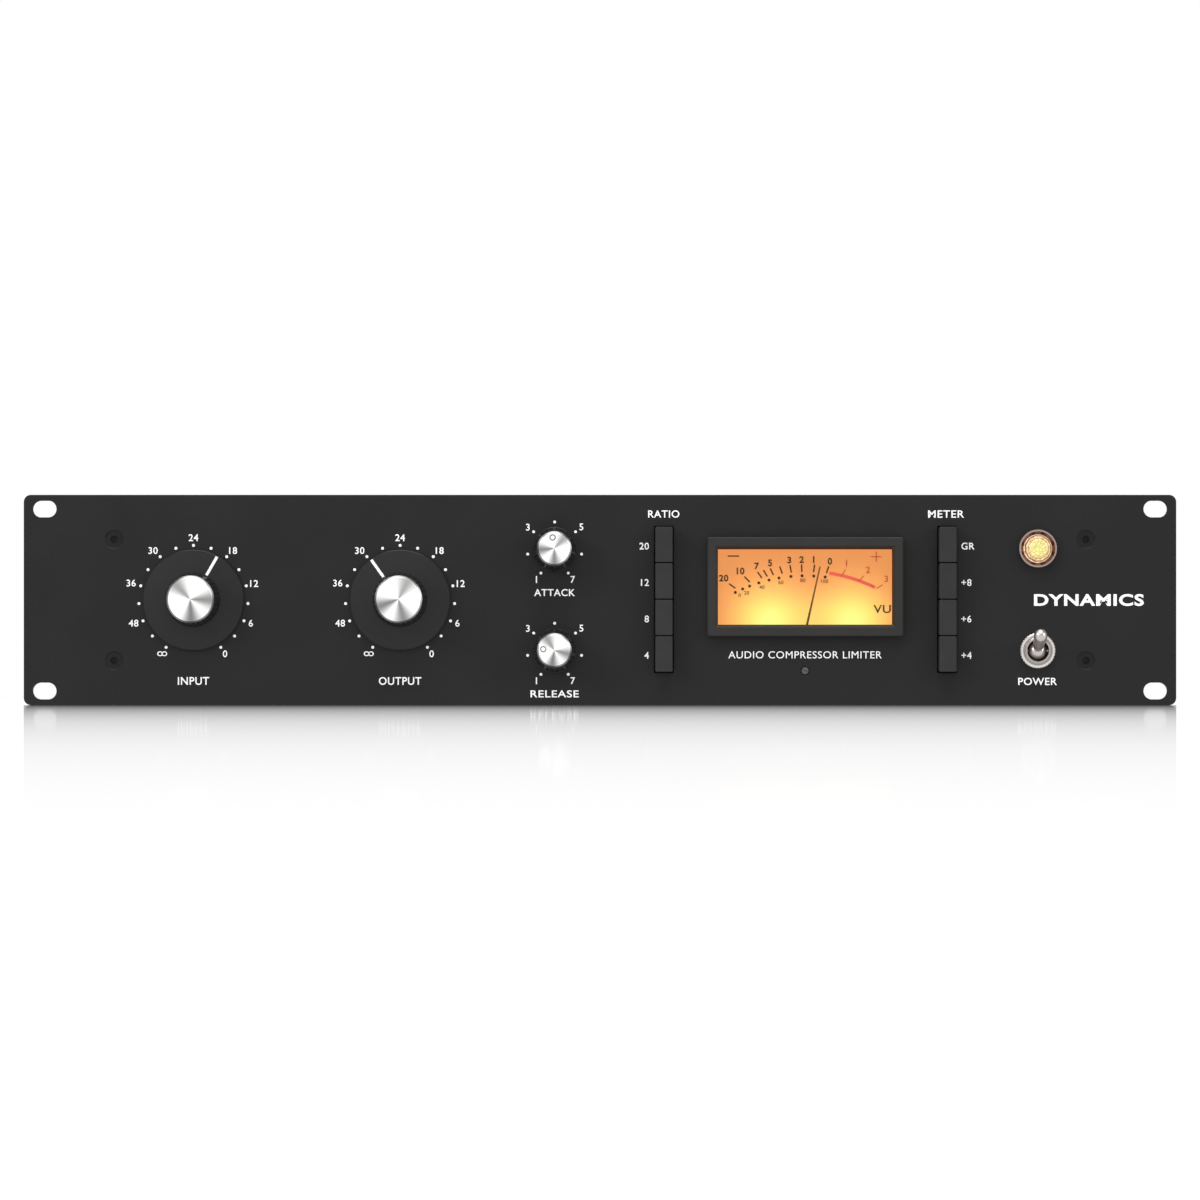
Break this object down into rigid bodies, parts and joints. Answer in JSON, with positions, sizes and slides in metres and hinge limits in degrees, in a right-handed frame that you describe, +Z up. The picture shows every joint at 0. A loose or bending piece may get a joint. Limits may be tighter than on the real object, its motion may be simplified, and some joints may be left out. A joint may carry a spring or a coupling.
{
  "type": "rack compressor",
  "caption": "Rack-mount audio compressor with skirted knobs, push keys, a back-lit level meter, pilot lamp and mains toggle on a black panel, and a metal case with rear connectors.",
  "frame": {"origin": "centre of the four rack slots, on the front panel's rear face", "axes": "+X right as seen from the front, +Y to the rear, +Z up"},
  "size_m": [0.4826, 0.2263, 0.0882],
  "materials": {
    "panel_black": "black satin paint, fine grain",
    "case_black": "black powder coat",
    "screw_black": "black oxide",
    "knob_black": "moulded satin",
    "spun_aluminium": "spun face with radial sheen",
    "shaft_steel": "turned",
    "pot_zinc": "zinc plate",
    "nickel": "nickel plate",
    "chrome_ring": "polished plate",
    "key_grey": "fine matt moulding",
    "black_plastic": "moulded",
    "bezel_black": "satin moulding",
    "clear_window": "clear",
    "scale_amber": "translucent, lit from behind",
    "needle_black": "matt black",
    "lamp_glass": "clear bulb",
    "amber_jewel": "faceted amber, lit",
    "connector_shell": "satin nickel",
    "pin_brass": "plated",
    "board_green": "solder mask",
    "can_grey": "grey lacquer",
    "capacitor_sleeve": "shrink sleeve",
    "winding_tape": "polyester tape over the winding"
  },
  "bodies": {
    "root": {"front_panel": "panel_black", "panel_screws": "screw_black", "chassis_tray": "case_black", "rear_panel": "case_black", "top_cover": "case_black", "case_screws": "screw_black", "input_pot": "pot_zinc", "output_pot": "pot_zinc", "attack_pot": "pot_zinc", "release_pot": "pot_zinc", "pot_nuts": "nickel", "ratio_switch_bank": "black_plastic", "meter_switch_bank": "black_plastic", "meter_bezel": "bezel_black", "meter_window": "clear_window", "meter_case": "black_plastic", "meter_scale": "scale_amber", "meter_movement": "shaft_steel", "meter_lamps": "lamp_glass", "pilot_bezel": "chrome_ring", "pilot_jewel": "amber_jewel", "pilot_holder": "black_plastic", "toggle_body": "nickel", "toggle_nut": "nickel", "mains_inlet": "black_plastic", "input_xlr": "connector_shell", "output_xlr": "connector_shell", "connector_pins": "pin_brass", "line_jacks": "nickel", "connector_screws": "screw_black", "main_board": "board_green", "board_standoffs": "pot_zinc", "audio_transformers": "can_grey", "board_capacitors": "capacitor_sleeve", "mains_transformer": "winding_tape"},
    "input_dial": {"input_knob": "knob_black", "input_knob_cap": "spun_aluminium", "input_shaft": "shaft_steel"},
    "output_dial": {"output_knob": "knob_black", "output_knob_cap": "spun_aluminium", "output_shaft": "shaft_steel"},
    "attack_dial": {"attack_knob": "knob_black", "attack_knob_cap": "spun_aluminium", "attack_shaft": "shaft_steel"},
    "release_dial": {"release_knob": "knob_black", "release_knob_cap": "spun_aluminium", "release_shaft": "shaft_steel"},
    "ratio_key_20": {"ratio_button_20": "key_grey"},
    "ratio_key_12": {"ratio_button_12": "key_grey"},
    "ratio_key_8": {"ratio_button_8": "key_grey"},
    "ratio_key_4": {"ratio_button_4": "key_grey"},
    "meter_key_gr": {"meter_button_gr": "key_grey"},
    "meter_key_plus_8": {"meter_button_plus_8": "key_grey"},
    "meter_key_plus_6": {"meter_button_plus_6": "key_grey"},
    "meter_key_plus_4": {"meter_button_plus_4": "key_grey"},
    "pointer": {"meter_needle": "needle_black"},
    "zero_adjuster": {"meter_zero_screw": "shaft_steel"},
    "toggle": {"toggle_lever": "nickel"},
    "fuse_tray": {"fuse_drawer": "black_plastic"},
    "release_latch": {"xlr_latch": "connector_shell"}
  },
  "joints": [
    {"name": "input_turn", "type": "hinge", "parent": "root", "child": "input_dial", "pos_m": [-0.1702, 0, 0], "axis": [0, 1, 0], "range_deg": [-179, 121]},
    {"name": "output_turn", "type": "hinge", "parent": "root", "child": "output_dial", "pos_m": [-0.0837, 0, 0], "axis": [0, 1, 0], "range_deg": [-114.5, 185.5]},
    {"name": "attack_turn", "type": "hinge", "parent": "root", "child": "attack_dial", "pos_m": [-0.019, 0, 0.0212], "axis": [0, 1, 0], "range_deg": [-141, 159]},
    {"name": "release_turn", "type": "hinge", "parent": "root", "child": "release_dial", "pos_m": [-0.019, 0, -0.0212], "axis": [0, 1, 0], "range_deg": [-66, 234]},
    {"name": "ratio_key_20_press", "type": "slide", "parent": "root", "child": "ratio_key_20", "axis": [0, 1, 0], "range_m": [0, 0.004], "stiffness_N_per_m": 300},
    {"name": "ratio_key_12_press", "type": "slide", "parent": "root", "child": "ratio_key_12", "axis": [0, 1, 0], "range_m": [0, 0.004], "stiffness_N_per_m": 300},
    {"name": "ratio_key_8_press", "type": "slide", "parent": "root", "child": "ratio_key_8", "axis": [0, 1, 0], "range_m": [0, 0.004], "stiffness_N_per_m": 300},
    {"name": "ratio_key_4_press", "type": "slide", "parent": "root", "child": "ratio_key_4", "axis": [0, 1, 0], "range_m": [0, 0.004], "stiffness_N_per_m": 300},
    {"name": "meter_key_gr_press", "type": "slide", "parent": "root", "child": "meter_key_gr", "axis": [0, 1, 0], "range_m": [0, 0.004], "stiffness_N_per_m": 300},
    {"name": "meter_key_plus_8_press", "type": "slide", "parent": "root", "child": "meter_key_plus_8", "axis": [0, 1, 0], "range_m": [0, 0.004], "stiffness_N_per_m": 300},
    {"name": "meter_key_plus_6_press", "type": "slide", "parent": "root", "child": "meter_key_plus_6", "axis": [0, 1, 0], "range_m": [0, 0.004], "stiffness_N_per_m": 300},
    {"name": "meter_key_plus_4_press", "type": "slide", "parent": "root", "child": "meter_key_plus_4", "axis": [0, 1, 0], "range_m": [0, 0.004], "stiffness_N_per_m": 300},
    {"name": "pointer_swing", "type": "hinge", "parent": "root", "child": "pointer", "pos_m": [0.08585, 0, -0.0153], "axis": [0, 1, 0], "range_deg": [-70.6, 47], "stiffness_Nm_per_rad": 0.0002},
    {"name": "zero_adjust_turn", "type": "hinge", "parent": "root", "child": "zero_adjuster", "pos_m": [0.08585, 0, -0.0296], "axis": [0, 1, 0], "continuous": true},
    {"name": "toggle_throw", "type": "hinge", "parent": "root", "child": "toggle", "pos_m": [0.1832, -0.002, -0.0212], "axis": [1, 0, 0], "range_deg": [0, 40]},
    {"name": "fuse_drawer_pull", "type": "slide", "parent": "root", "child": "fuse_tray", "axis": [0, 1, 0], "range_m": [0, 0.018]},
    {"name": "latch_press", "type": "slide", "parent": "root", "child": "release_latch", "axis": [0, -1, 0], "range_m": [0, 0.0015], "stiffness_N_per_m": 300}
  ]
}
